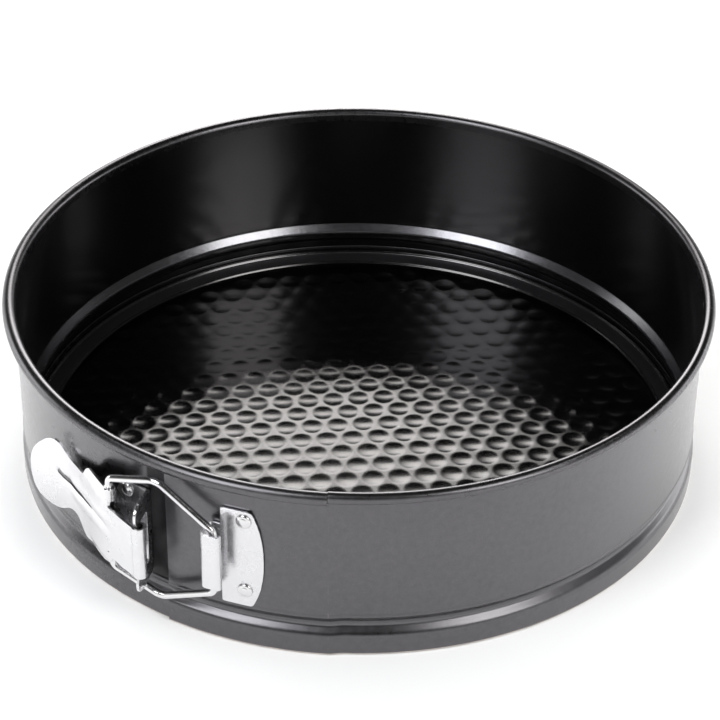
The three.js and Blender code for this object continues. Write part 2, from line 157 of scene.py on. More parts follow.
# the optional switches for the outside, inside and base coatings paint shade and highlights into their colour
def coating(name, dark, light, metallic, r0, r1, grain, peel, worn, spec=0.5, painted_outside_light=False, painted_groove_light=False, clear=None, ledge=False):
    m = Mat(name)
    broad = m.noise(11.0, 3.0)
    mottle = m.noise(420.0, 2.0)
    fine = m.noise(3600.0, 1.0)
    tone = m.math("ADD", m.math("MULTIPLY", broad, 0.45), m.math("MULTIPLY", mottle, 0.3))
    tone = m.math("ADD", tone, m.math("MULTIPLY", fine, 0.25))
    tone = m.range(tone, 0.36, 0.64, 0.0, 1.0)
    colour = m.mix(tone, dark, light)
    flake = m.range(m.noise(5200.0, 0.0), 0.66, 0.74, 0.0, grain)
    colour = m.mix(flake, colour, tuple(min(1.0, 2.1 * c + 0.05) for c in light))
    rub = m.noise(1.0, 4.0, 0.6, vector=m.around(5.0, 2600.0))
    lines = m.range(rub, 0.66, 0.72, 0.0, 1.0)
    patches = m.range(m.noise(26.0, 4.0, 0.62), 0.54, 0.66, 0.0, 1.0)
    lines = m.math("MULTIPLY", lines, patches)
    geo = m.n("ShaderNodeNewGeometry")
    edge = m.range(geo.outputs["Pointiness"], 0.53, 0.60, 0.0, 1.0)
    chips = m.range(m.noise(150.0, 5.0, 0.7), 0.52, 0.6, 0.0, 1.0)
    edge = m.math("MULTIPLY", m.math("MULTIPLY", edge, chips), worn)
    colour = m.mix(edge, colour, (0.42, 0.41, 0.40))
    colour = m.mix(m.math("MULTIPLY", lines, 0.18), colour, tuple(1.7 * c + 0.02 for c in light))
    rough = m.range(m.math("ADD", broad, m.math("MULTIPLY", mottle, 0.7)), 0.6, 1.1, r0, r1)
    rough = m.math("ADD", rough, m.math("MULTIPLY", lines, -0.06))
    if painted_outside_light:
        # painted shade: beside the lap, the inner end's colour is darkened and its clear coat thinned, in place of the
        # shade and dark reflection that the lap and flange put on the wall there
        s = m.n("ShaderNodeSeparateXYZ")
        m.link(m.co, s.inputs[0])
        ang = m.math("ARCTAN2", s.outputs[1], s.outputs[0])
        rr = m.math("SQRT", m.math("ADD", m.math("MULTIPLY", s.outputs[0], s.outputs[0]), m.math("MULTIPLY", s.outputs[1], s.outputs[1])))
        k = m.math("MULTIPLY", m.range(ang, -1.5555, -1.5470, 0.0, 1.0), m.range(rr, 0.12985, 0.13005, 1.0, 0.0))
        k = m.math("MULTIPLY", k, m.range(ang, -1.4800, -1.4700, 1.0, 0.0))
        k = m.math("MULTIPLY", k, m.range(s.outputs[2], 0.0158, 0.0172, 0.0, 1.0))
        k = m.math("MULTIPLY", k, m.range(m.noise(60.0, 3.0), 0.2, 0.8, 0.75, 0.95))
        colour = m.mix(k, colour, tuple(0.10 * c for c in dark))
        veil = m.math("MULTIPLY", m.math("SUBTRACT", 1.0, k), clear[0])
        # painted highlight: the foot is painted a light pinkish bare-metal colour, in place of the white floor's
        # reflection in the hem's bottom edge
        k = m.math("MULTIPLY", m.range(s.outputs[2], 0.00085, 0.0005, 0.0, 1.0), m.range(m.noise(90.0, 3.0), 0.3, 0.6, 0.55, 0.95))
        colour = m.mix(k, colour, (0.74, 0.66, 0.62))
        # painted highlight: the shoulder above the skirt is painted a little brighter, in place of the lights' sheen on
        # it
        k = m.math("MULTIPLY", m.range(s.outputs[2], 0.0088, 0.0096, 0.0, 1.0), m.range(s.outputs[2], 0.0112, 0.0122, 1.0, 0.0))
        colour = m.mix(m.math("MULTIPLY", k, 0.25), colour, (0.21, 0.207, 0.217))
    if painted_groove_light:
        # painted shade: the groove under the shoulder is painted dark, made rougher and loses its clear coat, in place
        # of the shade in the groove
        s = m.n("ShaderNodeSeparateXYZ")
        m.link(m.co, s.inputs[0])
        k = m.range(s.outputs[2], 0.0126, 0.0112, 0.0, 1.0)
        k = m.math("MULTIPLY", k, m.range(m.noise(75.0, 4.0), 0.3, 0.7, 0.72, 0.92))
        colour = m.mix(k, colour, tuple(0.12 * c for c in dark))
        rough = m.math("ADD", rough, m.math("MULTIPLY", k, 0.2))
        veil = m.math("MULTIPLY", m.math("SUBTRACT", 1.0, k), clear[0])
        # painted highlight: the shoulder above it is painted brighter, in place of the lights' sheen on it
        k = m.math("MULTIPLY", m.range(s.outputs[2], 0.0128, 0.0138, 0.0, 1.0), m.range(s.outputs[2], 0.0162, 0.0168, 1.0, 0.0))
        colour = m.mix(m.math("MULTIPLY", k, 0.9), colour, (0.20, 0.198, 0.212))
    if ledge:
        # painted highlight: the base's sloping ledge is painted brighter and made a little rougher, in place of the
        # sheen it shows
        s = m.n("ShaderNodeSeparateXYZ")
        m.link(m.co, s.inputs[0])
        rr = m.math("SQRT", m.math("ADD", m.math("MULTIPLY", s.outputs[0], s.outputs[0]), m.math("MULTIPLY", s.outputs[1], s.outputs[1])))
        k = m.math("MULTIPLY", m.range(rr, 0.1220, 0.1224, 0.0, 1.0), m.range(rr, 0.1273, 0.1277, 1.0, 0.0))
        colour = m.mix(m.math("MULTIPLY", k, 0.9), colour, (0.23, 0.225, 0.24))
        rough = m.math("ADD", rough, m.math("MULTIPLY", k, 0.16))
    m.set(Base_Color=colour, Roughness=rough, Metallic=metallic)
    m.p.inputs["Specular IOR Level"].default_value = spec
    if clear:
        m.p.inputs["Coat Weight"].default_value, m.p.inputs["Coat Roughness"].default_value = clear
        # the clear coat is also taken off where shade is painted beside the lap and in the groove
        if painted_outside_light or painted_groove_light:
            m.set(Coat_Weight=veil)
    b = m.bump(fine, 0.5 * peel, 0.00002)
    b = m.bump(mottle, 0.6 * peel, 0.00006, b)
    b = m.bump(lines, 0.25, 0.00002, b)
    m.set(Normal=b)
    return m.m


def plated(name, base, r0, r1, wavy):
    m = Mat(name)
    broad = m.noise(90.0, 3.0)
    mid = m.noise(420.0, 4.0, 0.6)
    fine = m.noise(2600.0, 2.0)
    colour = m.mix(m.range(mid, 0.35, 0.65, 0.0, 1.0), tuple(0.965 * c for c in base), base)
    # darker and browner where the AO node finds other surfaces within 2.2 mm, broken up by noise
    ao = m.n("ShaderNodeAmbientOcclusion", samples=6)
    ao.inputs["Distance"].default_value = 0.0022
    occlusion_darkening = m.range(ao.outputs["AO"], 0.25, 0.75, 0.6, 0.0)
    occlusion_darkening = m.math("MULTIPLY", occlusion_darkening, m.range(m.noise(520.0, 3.0), 0.35, 0.6, 0.3, 1.0))
    colour = m.mix(occlusion_darkening, colour, (0.20, 0.18, 0.165))
    pits = m.range(m.voronoi(1500.0), 0.0, 0.16, 1.0, 0.0)
    pits = m.math("MULTIPLY", pits, m.range(m.noise(210.0, 3.0), 0.55, 0.66, 0.0, 1.0))
    colour = m.mix(m.math("MULTIPLY", pits, 0.3), colour, (0.4, 0.37, 0.33))
    drawn = m.noise(1.0, 3.0, 0.6, vector=m.around(1400.0, 160.0))
    drawn = m.range(drawn, 0.6, 0.7, 0.0, 1.0)
    rough = m.range(m.math("ADD", broad, m.math("MULTIPLY", mid, 0.6)), 0.55, 1.05, r0, r1)
    rough = m.math("ADD", rough, m.math("MULTIPLY", pits, 0.25))
    rough = m.math("ADD", rough, m.math("MULTIPLY", drawn, 0.05))
    m.set(Base_Color=colour, Roughness=rough, Metallic=1.0)
    b = m.bump(broad, wavy, 0.0006)
    b = m.bump(m.math("SUBTRACT", fine, pits), 0.25, 0.00003, b)
    b = m.bump(drawn, 0.15, 0.00002, b)
    m.set(Normal=b)
    return m.m


# the outside coating has shade painted beside the lap and highlights painted on the foot and the shoulder
OUTER = coating("coating_outside", (0.074, 0.071, 0.077), (0.104, 0.100, 0.108), 1.0, 0.26, 0.35, 0.16, 0.6, 0.3, painted_outside_light=True, clear=(0.85, 0.22))
# the inside coating has shade painted in the groove and a highlight painted on the shoulder above it
INNER = coating("coating_inside", (0.070, 0.067, 0.072), (0.094, 0.091, 0.097), 1.0, 0.20, 0.27, 0.02, 0.6, 0.35, painted_groove_light=True, clear=(1.0, 0.14))
# the base coating has a highlight painted on its sloping ledge
FLOOR = coating("coating_base", (0.074, 0.0725, 0.0725), (0.096, 0.094, 0.094), 1.0, 0.14, 0.21, 0.04, 0.35, 0.15, ledge=True)
UNDER = coating("coating_underside", (0.075, 0.073, 0.073), (0.110, 0.107, 0.108), 0.9, 0.32, 0.46, 0.12, 1.0, 0.5)
RIM = coating("coating_rim", (0.100, 0.097, 0.102), (0.140, 0.136, 0.143), 1.0, 0.24, 0.33, 0.06, 0.25, 0.15)
STEEL = plated("plated_sheet", (0.76, 0.755, 0.77), 0.19, 0.30, 0.05)
WIRE = plated("plated_wire", (0.76, 0.755, 0.765), 0.10, 0.20, 0.03)
RIVET = plated("plated_rivet", (0.75, 0.745, 0.755), 0.14, 0.26, 0.10)


# ------------------------------------------------------------------ mesh helpers
def add_mesh(name, verts, faces, mats, face_mat=None, normals=None):
    me = bpy.data.meshes.new(name)
    me.from_pydata((np.asarray(verts, float) * 0.001).tolist(), [], faces)
    me.polygons.foreach_set("use_smooth", [True] * len(me.polygons))
    for m in mats:
        me.materials.append(m)
    if face_mat is not None:
        me.polygons.foreach_set("material_index", face_mat)
    me.update()
    if normals is not None:
        me.normals_split_custom_set_from_vertices(np.asarray(normals, float).tolist())
    ob = bpy.data.objects.new(name, me)
    bpy.context.scene.collection.objects.link(ob)
    return ob


def fillet(points, radii, seg=6):
    """A polyline with its corners rounded; works in the plane or in space."""
    P = [np.array(p, float) for p in points]
    out = [P[0]]
    for i in range(1, len(P) - 1):
        r = radii[i] if hasattr(radii, "__len__") else radii
        d0, d1 = P[i - 1] - P[i], P[i + 1] - P[i]
        l0, l1 = np.linalg.norm(d0), np.linalg.norm(d1)
        d0, d1 = d0 / l0, d1 / l1
        ang = math.acos(float(np.clip(d0 @ d1, -1, 1)))
        if r <= 0 or ang > math.radians(178):
            out.append(P[i])
            continue
        t = min(r / math.tan(ang / 2), 0.48 * l0, 0.48 * l1)
        r = t * math.tan(ang / 2)
        a, b = P[i] + d0 * t, P[i] + d1 * t
        m = d0 + d1
        c = P[i] + m / np.linalg.norm(m) * (r / math.sin(ang / 2))
        va, vb = a - c, b - c
        th = math.pi - ang
        for k in range(seg + 1):
            f = k / seg
            out.append(c + (va * math.sin((1 - f) * th) + vb * math.sin(f * th)) / math.sin(th))
    out.append(P[-1])
    return np.array(out)


def thicken(line, t, caps=3):
    """Closed outline of a sheet that follows a line in the plane: points, normals, and which side each came from."""
    d = np.gradient(line, axis=0)
    d /= np.linalg.norm(d, axis=1)[:, None]
    n = np.stack([d[:, 1], -d[:, 0]], 1)
    h = t / 2
    pts, nor, side = [], [], []

    def cap(centre, n0, along):
        for k in range(1, caps + 1):
            a = math.pi * k / (caps + 1)
            v = n0 * math.cos(a) + along * math.sin(a)
            pts.append(centre + v * h)
            nor.append(v)
            side.append(0)

    for p, q in zip(line, n):
        pts.append(p + q * h)
        nor.append(q)
        side.append(0)
    cap(line[-1], n[-1], d[-1])
    for p, q in zip(line[::-1], n[::-1]):
        pts.append(p - q * h)
        nor.append(-q)
        side.append(1)
    cap(line[0], -n[0], -d[0])
    return np.array(pts), np.array(nor), side


def sweep(name, loop_at, azimuths, mats, cap0=False, cap1=False):
    """Carries a closed (r, z) outline round the pan."""
    V, N = [], []
    for az in azimuths:
        p, q, side = loop_at(az)
        c, s = math.cos(math.radians(az)), math.sin(math.radians(az))
        V.append(np.stack([p[:, 0] * c, p[:, 0] * s, p[:, 1]], 1))
        N.append(np.stack([q[:, 0] * c, q[:, 0] * s, q[:, 1]], 1))
    V, N = np.array(V), np.array(N)
    m, k = V.shape[:2]
    faces, fm = [], []
    i0, i1 = V[0, 0], V[0, 1]
    test = np.cross(V[0, 1] - V[0, 0], V[1, 0] - V[0, 0]) @ N[0, 0]
    for i in range(m - 1):
        for j in range(k):
            j2 = (j + 1) % k
            f = (i * k + j, i * k + j2, (i + 1) * k + j2, (i + 1) * k + j)
            faces.append(f if test > 0 else f[::-1])
            rolled = min(p[j][1], p[j2][1]) > 67.2 and len(mats) > 2
            fm.append(2 if rolled else side[j] if side[j] == side[j2] else 0)
    verts, normals = V.reshape(-1, 3), N.reshape(-1, 3)
    for on, i, sgn in ((cap0, 0, -1), (cap1, m - 1, 1)):
        if not on:
            continue
        base = len(verts)
        verts = np.vstack([verts, V[i]])
        a = math.radians(azimuths[i])
        t = np.array([-math.sin(a), math.cos(a), 0]) * sgn
        normals = np.vstack([normals, np.tile(t, (k, 1))])
        half = k // 2
        # strips across the sheet, from one side to the other
        for j in range(k):
            a_, b_ = j, (j + 1) % k
            c_, d_ = (k - 2 - j) % k, (k - 1 - j) % k
            if j < half - 1:
                f = (base + a_, base + b_, base + c_, base + d_)
                if len(set(f)) == 4:
                    nn = np.cross(verts[f[1]] - verts[f[0]], verts[f[3]] - verts[f[0]])
                    faces.append(f if nn @ t > 0 else f[::-1])
                    fm.append(0)
    return add_mesh(name, verts, faces, mats, fm, normals)


def finalise(ob):
    dg = bpy.context.evaluated_depsgraph_get()
    me = bpy.data.meshes.new_from_object(ob.evaluated_get(dg))
    ob.modifiers.clear()
    ob.data = me
    return ob


def sheet(name, verts, faces, thickness, mat, bevel=0.13):
    """A pressed sheet part from its middle surface."""
    ob = add_mesh(name, verts, faces, [mat])
    s = ob.modifiers.new("t", "SOLIDIFY")
    s.thickness, s.offset, s.use_even_offset, s.use_rim = thickness * 0.001, 0.0, True, True
    b = ob.modifiers.new("b", "BEVEL")
    b.width, b.segments, b.limit_method, b.angle_limit = bevel * 0.001, 2, "ANGLE", math.radians(50)
    b.harden_normals = True
    b.use_clamp_overlap = True
    return finalise(ob)


def grid_faces(m, n, base=0, keep=lambda i, j: True):
    return [
        (base + i * n + j, base + i * n + j + 1, base + (i + 1) * n + j + 1, base + (i + 1) * n + j)
        for i in range(m - 1)
        for j in range(n - 1)
        if keep(i, j)
    ]


def tube(name, path, r, mat, sides=18):
    path = np.asarray(path, float)
    d = np.gradient(path, axis=0)
    d /= np.linalg.norm(d, axis=1)[:, None]
    u = np.cross(d[0], [0.3, 0.8, 0.1])
    u /= np.linalg.norm(u)
    V = []
    rings = []
    # rounded ends
    for f in (0.12, 0.45, 0.8):
        rings.append((path[0] - d[0] * r * 0.6 * math.cos(f * math.pi / 2), d[0], r * math.sin(f * math.pi / 2)))
    for p, q in zip(path, d):
        rings.append((p, q, r))
    for f in (0.8, 0.45, 0.12):
        rings.append((path[-1] + d[-1] * r * 0.6 * math.cos(f * math.pi / 2), d[-1], r * math.sin(f * math.pi / 2)))
    for p, q, rr in rings:
        u = u - q * (u @ q)
        u /= np.linalg.norm(u)
        w = np.cross(q, u)
        for k in range(sides):
            a = 2 * math.pi * k / sides
            V.append(p + (u * math.cos(a) + w * math.sin(a)) * rr)
    m = len(rings)
    F = []
    for i in range(m - 1):
        for k in range(sides):
            k2 = (k + 1) % sides
            F.append((i * sides + k, i * sides + k2, (i + 1) * sides + k2, (i + 1) * sides + k))
    F.append(tuple(range(sides))[::-1])
    F.append(tuple((m - 1) * sides + k for k in range(sides)))
    return add_mesh(name, V, F, [mat])


def lathe_part(name, profile, axis_az, z, mat, seg=40):
    """A small turned part whose axis stands out of the wall; profile is (radius, distance from the pan's axis)."""
    n, t = pol(1, axis_az), pol(1, axis_az + 90)
    V, F = [], []
    for r, h in profile:
        for k in range(seg):
            a = 2 * math.pi * k / seg
            V.append([n[0] * h + t[0] * r * math.cos(a), n[1] * h + t[1] * r * math.cos(a), z + r * math.sin(a)])
    for i in range(len(profile) - 1):
        for k in range(seg):
            k2 = (k + 1) % seg
            F.append((i * seg + k, i * seg + k2, (i + 1) * seg + k2, (i + 1) * seg + k))
    F.append(tuple(range(seg))[::-1])
    F.append(tuple((len(profile) - 1) * seg + k for k in range(seg)))
    ob = add_mesh(name, V, F, [mat])
    me = ob.data
    c = sum((Vector(v) for v in (me.polygons[0].normal,)), Vector())
    mid = Vector((n[0], n[1], 0))
    p = me.polygons[len(me.polygons) - 1]
    if p.normal.dot(mid) * (1 if profile[-1][1] > profile[0][1] else -1) < 0:
        me.flip_normals()
    return ob


def join(name, parts):
    """One object from several."""
    V, F, M, mats = [], [], [], []
    out = bpy.data.meshes.new(name)
    import bmesh

    bm = bmesh.new()
    for p in parts:
        bm.from_mesh(p.data)
    bm.to_mesh(out)
    bm.free()
    for m in parts[0].data.materials:
        out.materials.append(m)
    for p in parts:
        bpy.data.objects.remove(p)
    ob = bpy.data.objects.new(name, out)
    bpy.context.scene.collection.objects.link(ob)
    return ob


# ------------------------------------------------------------------ band
def band_line(off, curl, rim=True):
    """Middle line of the band's sheet in (r, z): hem, skirt, groove, wall and rolled rim."""
    ro, zo, rr = curl
    pts = [(129.62, 4.8), (129.62, 0.3), (130.25, 0.3), (130.25, 8.4), (127.36, 10.95), (127.28, 13.3), (129.66, 16.45), (129.66, 17.0), (129.4, 17.7)]
    rad = [0, 0.3, 0.3, 3.2, 2.0, 2.2, 0.5, 0.35, 0.6]
    top = 66.9 if not rim else zo
    low = fillet(pts + [(129.4, top)], rad + [0])
    # even steps up the wall
    wall = [(129.4, z) for z in np.arange(19.5, top - 0.4, 2.4)]
    low = np.vstack([low[:-1], wall])
    if rim:
        arc = [
            (ro + rr * math.cos(math.radians(a)), zo + rr * math.sin(math.radians(a)))
            for a in range(180, -132, -11)
        ]
        low = np.vstack([low, arc])
    else:
        low = np.vstack([low, [(129.4, top)]])
    shift = off * (1 - (smooth(low[:, 1], 63.5, 67.0) if rim else 0))
    low[:, 0] += shift
    return low


CURL_L = (131.5, 69.45, 2.15)  # the inner end's rim is rolled a little fuller
CURL_R = (131.3, 69.85, 1.85)


def loop_left(az):
    # the roll tightens towards the back, where it meets the other half
    f = smooth(az, 105, 150)
    c = tuple(CURL_R[i] + (CURL_L[i] - CURL_R[i]) * f for i in range(3))
    c = (129.4 + c[2], c[1], c[2])
    return thicken(band_line(0.0, c), SHEET)


def loop_right(az):
    off = LAP * (1 - smooth(az, -59.3, -56.6))
    c = (129.4 + CURL_R[2], CURL_R[1], CURL_R[2])
    return thicken(band_line(off, c), SHEET)


def loop_lap(az):
    return thicken(band_line(LAP, CURL_R, rim=False), SHEET)


def steps(a, b, d=1.0):
    return list(np.linspace(a, b, max(2, int(round((b - a) / d)) + 1)))


left = sweep("band_left_sheet", loop_left, steps(105, 360 - 59.31), [OUTER, INNER, RIM], cap1=True)
right = sweep(
    "band_right_sheet",
    loop_right,
    steps(AZ_RIM_START, -56.3, 0.3) + steps(-55.5, 79),
    [OUTER, INNER, RIM],
    cap0=True,
)
back = sweep("band_back_sheet", loop_right, steps(79, 105), [OUTER, INNER, RIM])
lap = sweep("band_lap_sheet", loop_lap, steps(AZ_TIP, AZ_RIM_START, 0.9), [OUTER, INNER, RIM], cap0=True)
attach(left, "ring_left")
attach(right, "ring_right")
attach(lap, "ring_right")
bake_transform(back)
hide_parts("band_left")
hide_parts("band_right")

# ------------------------------------------------------------------ base
DENT_O = np.array([-11.80, -28.95])
DENT_A = pol(10.13, 41.5)
DENT_B = pol(10.13, 101.5)
DENT_R = 4.27
DENT_D = 0.32  # depth of a dent
M = np.stack([DENT_A, DENT_B], 1)
MI = np.linalg.inv(M)


def dent(x, y):
    """0 between the dents to 1 at a dent's bottom."""
    q = np.stack([x - DENT_O[0], y - DENT_O[1]], -1) @ MI.T
    best = np.full(x.shape, 1e9)
    f = np.floor(q)
    for di in (0, 1):
        for dj in (0, 1):
            c = (f + [di, dj]) @ M.T + DENT_O
            ok = np.hypot(c[..., 0], c[..., 1]) < 117.3
            d = np.hypot(x - c[..., 0], y - c[..., 1])
            best = np.minimum(best, np.where(ok, d, 1e9))
    u = np.clip(best / DENT_R, 0, 1.4)
    bowl = np.where(u < 0.87, 1 - (u / 1.0) ** 2, 0)
    # a rounded lip where the bowl meets the flat
    u0, u1 = 0.87, 1.13
    v0, s0 = 1 - u0**2, -2 * u0
    w = (u - u0) / (u1 - u0)
    h00, h10 = 2 * w**3 - 3 * w**2 + 1, w**3 - 2 * w**2 + w
    lip = h00 * v0 + h10 * s0 * (u1 - u0)
    return np.where(u < u0, bowl, np.where(u < u1, lip, 0.0))


def disc(name, radii, z_of, n_phi, mat, up):
    phi = np.linspace(0, 2 * math.pi, n_phi, endpoint=False)
    R, PH = np.meshgrid(np.asarray(radii, float), phi, indexing="ij")
    X, Y = R * np.cos(PH), R * np.sin(PH)
    Z = z_of(R, X, Y)
    V = np.stack([X, Y, Z], -1).reshape(-1, 3)
    m = len(radii)
    i = np.arange(m - 1)[:, None] * n_phi
    j = np.arange(n_phi)[None, :]
    j2 = (j + 1) % n_phi
    F = np.stack([i + j, i + n_phi + j, i + n_phi + j2, i + j2], -1).reshape(-1, 4)
    if not up:
        F = F[:, ::-1]
    z0 = float(z_of(np.zeros(1), np.zeros(1), np.zeros(1))[0])
    V = np.vstack([V, [[0, 0, z0]]])
    c = len(V) - 1
    tri = [(c, int(a), int((a + 1) % n_phi)) if up else (c, int((a + 1) % n_phi), int(a)) for a in range(n_phi)]
    return V, [tuple(f) for f in F.tolist()] + tri, mat


# floor, a short step, a sloping ledge, a second step and the flat edge
EDGE = fillet(
    [(119.6, 1.0), (121.45, 1.0), (122.05, 1.85), (127.45, 2.55), (128.05, 3.5), (128.7, 3.5)],
    [0, 0.5, 0.45, 0.4, 0.4, 0],
    8,
)


def z_top(R, X, Y):
    z = np.interp(R, EDGE[:, 0], EDGE[:, 1])
    return z - DENT_D * dent(X, Y)


def z_bot(R, X, Y):
    z = np.interp(R, EDGE[:, 0], EDGE[:, 1]) - 0.45
    return z - np.where(R < 121, 0.5 * dent(X, Y), 0) - 0.03 - smooth(R, 119, 124) * 0.22


radii_top = np.unique(np.concatenate([np.linspace(0.6, 120.8, 200), np.arange(121, 128.71, 0.11)]))
radii_bot = np.unique(np.concatenate([np.linspace(0.8, 120.8, 122), np.arange(121, 128.71, 0.4)]))
Vt, Ft, _ = disc("t", radii_top, z_top, 1080, FLOOR, True)
Vb, Fb, _ = disc("b", radii_bot, z_bot, 720, UNDER, False)
# the rounded edge
phi = np.linspace(0, 2 * math.pi, 720, endpoint=False)
edge_pts = [(128.7, 3.5), (128.82, 3.46), (128.9, 3.36), (128.9, 2.96), (128.82, 2.85), (128.7, 2.8)]
Ve = np.array([[r * math.cos(a), r * math.sin(a), z] for r, z in edge_pts for a in phi])
Fe = [
    (i * 720 + j, (i + 1) * 720 + j, (i + 1) * 720 + (j + 1) % 720, i * 720 + (j + 1) % 720)
    for i in range(len(edge_pts) - 1)
    for j in range(720)
]
verts = np.vstack([Vt, Vb, Ve])
faces = (
    Ft
    + [tuple(v + len(Vt) for v in f) for f in Fb]
    + [tuple(v + len(Vt) + len(Vb) for v in f) for f in Fe]
)
base = add_mesh("base_dished", verts, faces, [FLOOR, UNDER], [0] * len(Ft) + [1] * len(Fb) + [0] * len(Fe))
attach(base, "base")
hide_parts("base_plate")

# ------------------------------------------------------------------ hinge bracket
rows = np.concatenate([np.linspace(-17.4, -14.6, 9), np.linspace(-14.2, 14.2, 37), np.linspace(14.6, 17.4, 9)])
HB = R_WALL + 0.3 + 0.45


def corner(dz, r):
    """How far a rounded corner draws an edge in, at dz from the plate's end."""
    d = np.clip(dz, 0, r)
    return r - math.sqrt(max(0.0, r * r - (r - d) ** 2))


cols = 18
V = []
for h in rows:
    lo = np.interp(abs(h), [0, 4, 8, 11.5, 14.5, 16.2, 17.4], [-95.6, -95.55, -95.3, -94.85, -94.15, -93.4, -92.2])
    hi = -88.62 - math.degrees(corner(17.4 - abs(h), 1.2) / HB)
    for j in range(cols):
        p = pol(HB, lo + (hi - lo) * j / (cols - 1))
        V.append([p[0], p[1], Z_BAR + h])
plate = sheet("hinge_plate", V, grid_faces(len(rows), cols), 0.9, STEEL)

# flange: an outline in (distance from the wall along the flange, z), with a window for the lever's barrel
F0 = pol(R_WALL + 0.85, -88.45)
FE = (A - F0) / np.linalg.norm(A - F0)
D_A = float(np.linalg.norm(A - F0))


def flat_plate(name, outlines, thickness, origin, ex, mat, bevel=0.14):
    cu = bpy.data.curves.new(name, "CURVE")
    cu.dimensions = "2D"
    cu.fill_mode = "BOTH"
    for pts in outlines:
        sp = cu.splines.new("POLY")
        sp.points.add(len(pts) - 1)
        for k, (x, y) in enumerate(pts):
            sp.points[k].co = (x * 0.001, y * 0.001, 0, 1)
        sp.use_cyclic_u = True
    cu.extrude = (thickness / 2 - bevel) * 0.001
    cu.bevel_depth = bevel * 0.001
    cu.bevel_resolution = 2
    tmp = bpy.data.objects.new(name + "_c", cu)
    bpy.context.scene.collection.objects.link(tmp)
    dg = bpy.context.evaluated_depsgraph_get()
    me = bpy.data.meshes.new_from_object(tmp.evaluated_get(dg))
    bpy.data.objects.remove(tmp)
    ez = np.array([ex[1], -ex[0], 0.0])
    mtx = Matrix(
        (
            (ex[0], 0, ez[0], origin[0] * 0.001),
            (ex[1], 0, ez[1], origin[1] * 0.001),
            (0, 1, 0, 0),
            (0, 0, 0, 1),
        )
    )
    me.transform(mtx)
    if mtx.determinant() < 0:
        me.flip_normals()
    me.materials.clear()
    me.materials.append(mat)
    me.polygons.foreach_set("material_index", [0] * len(me.polygons))
    me.polygons.foreach_set("use_smooth", [True] * len(me.polygons))
    me.set_sharp_from_angle(angle=math.radians(40))
    ob = bpy.data.objects.new(name, me)
    bpy.context.scene.collection.objects.link(ob)
    return ob


half = [(-0.6, 0), (-0.6, 17.4), (1.2, 18.0), (5.5, 18.6), (10.2, 18.6), (D_A + 1.9, 17.4), (D_A + 2.6, 14.0), (D_A + 1.5, 11.6), (D_A + 1.05, 10.9), (D_A + 1.05, 0)]
upper = fillet([half[0]] + half[1:] , [0, 1.0, 3, 3, 3.5, 3.0, 2.5, 1.2, 0.4, 0], 7)
outline = [(x, Z_BAR + y) for x, y in upper[1:-1]] + [(x, Z_BAR - y) for x, y in upper[1:-1][::-1]]
win = fillet([(6, 11.35), (D_A - 1.05, 11.35), (D_A - 1.05, -11.35), (3.3, -11.35), (3.3, 11.35), (6, 11.35)], [0, 0.6, 0.6, 1.6, 1.6, 0])
window = [(x, Z_BAR + y) for x, y in win[:-1]]
flange = flat_plate("hinge_flange", [outline, window], 1.0, F0, FE, STEEL)
bracket = join("hinge_bracket_pressed", [plate, flange])
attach(bracket, "ring_left")
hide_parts("hinge_bracket")

# ------------------------------------------------------------------ rivets
HEAD = [(0.02, 1.28), (0.7, 1.26), (1.25, 1.16), (1.62, 1.02), (1.78, 0.9), (1.95, 0.86), (2.3, 0.8), (2.58, 0.62), (2.74, 0.36), (2.75, 0.12), (2.66, 0.0), (1.3, -0.02)]


def rivet_piece(name, az, z, face, inside, flush, body, node):
    prof = [(r, face + h) for r, h in HEAD]
    if flush:
        prof += [(1.3, inside + 0.1), (1.15, inside + 0.02), (0.02, inside + 0.02)]
    else:
        prof += [(1.3, inside), (2.0, inside), (2.12, inside - 0.12), (2.05, inside - 0.45), (1.6, inside - 0.66), (0.8, inside - 0.74), (0.02, inside - 0.76)]
    ob = lathe_part(name, prof, az, z, RIVET)
    ob.data.set_sharp_from_angle(angle=math.radians(55))
    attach(ob, body)
    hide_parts(node)


for tag, z in (("upper", 51.3), ("lower", 23.6)):
    rivet_piece("hinge_rivet_%s_head" % tag, -92.5, z, HB + 0.45, R_WALL - SHEET, False, "ring_left", "hinge_rivet_" + tag)
for tag, z in (("upper", 55.3), ("lower", 25.0)):
    rivet_piece("catch_rivet_%s_head" % tag, -71.9, z, R_WALL + LAP + 0.3 + 0.8, R_WALL + LAP - SHEET, True, "ring_right", "catch_rivet_" + tag)

# ------------------------------------------------------------------ lever
LINE = [(6.9, -143.3), (-0.6, -141.4), (-11.3, -138.2), (-16.4, -136.0), (-24.1, -131.9), (-29.5, -129.2), (-35.4, -127.0), (-39.8, -125.9), (-43.8, -125.4), (-48.0, -125.5), (-52.0, -126.0), (-55.9, -126.5)]


def catmull(P, per=24):
    P = np.array(P, float)
    Q = np.vstack([2 * P[0] - P[1], P, 2 * P[-1] - P[-2]])
    out = []
    for i in range(1, len(Q) - 2):
        p0, p1, p2, p3 = Q[i - 1 : i + 3]
        t0 = 0.0
        t1 = t0 + np.linalg.norm(p1 - p0) ** 0.5
        t2 = t1 + np.linalg.norm(p2 - p1) ** 0.5
        t3 = t2 + np.linalg.norm(p3 - p2) ** 0.5
        for t in np.linspace(t1, t2, per, endpoint=False):
            a1 = (t1 - t) / (t1 - t0) * p0 + (t - t0) / (t1 - t0) * p1
            a2 = (t2 - t) / (t2 - t1) * p1 + (t - t1) / (t2 - t1) * p2
            a3 = (t3 - t) / (t3 - t2) * p2 + (t - t2) / (t3 - t2) * p3
            b1 = (t2 - t) / (t2 - t0) * a1 + (t - t0) / (t2 - t0) * a2
            b2 = (t3 - t) / (t3 - t1) * a2 + (t - t1) / (t3 - t1) * a3
            out.append((t2 - t) / (t2 - t1) * b1 + (t - t1) / (t2 - t1) * b2)
    out.append(P[-1])
    return np.array(out)


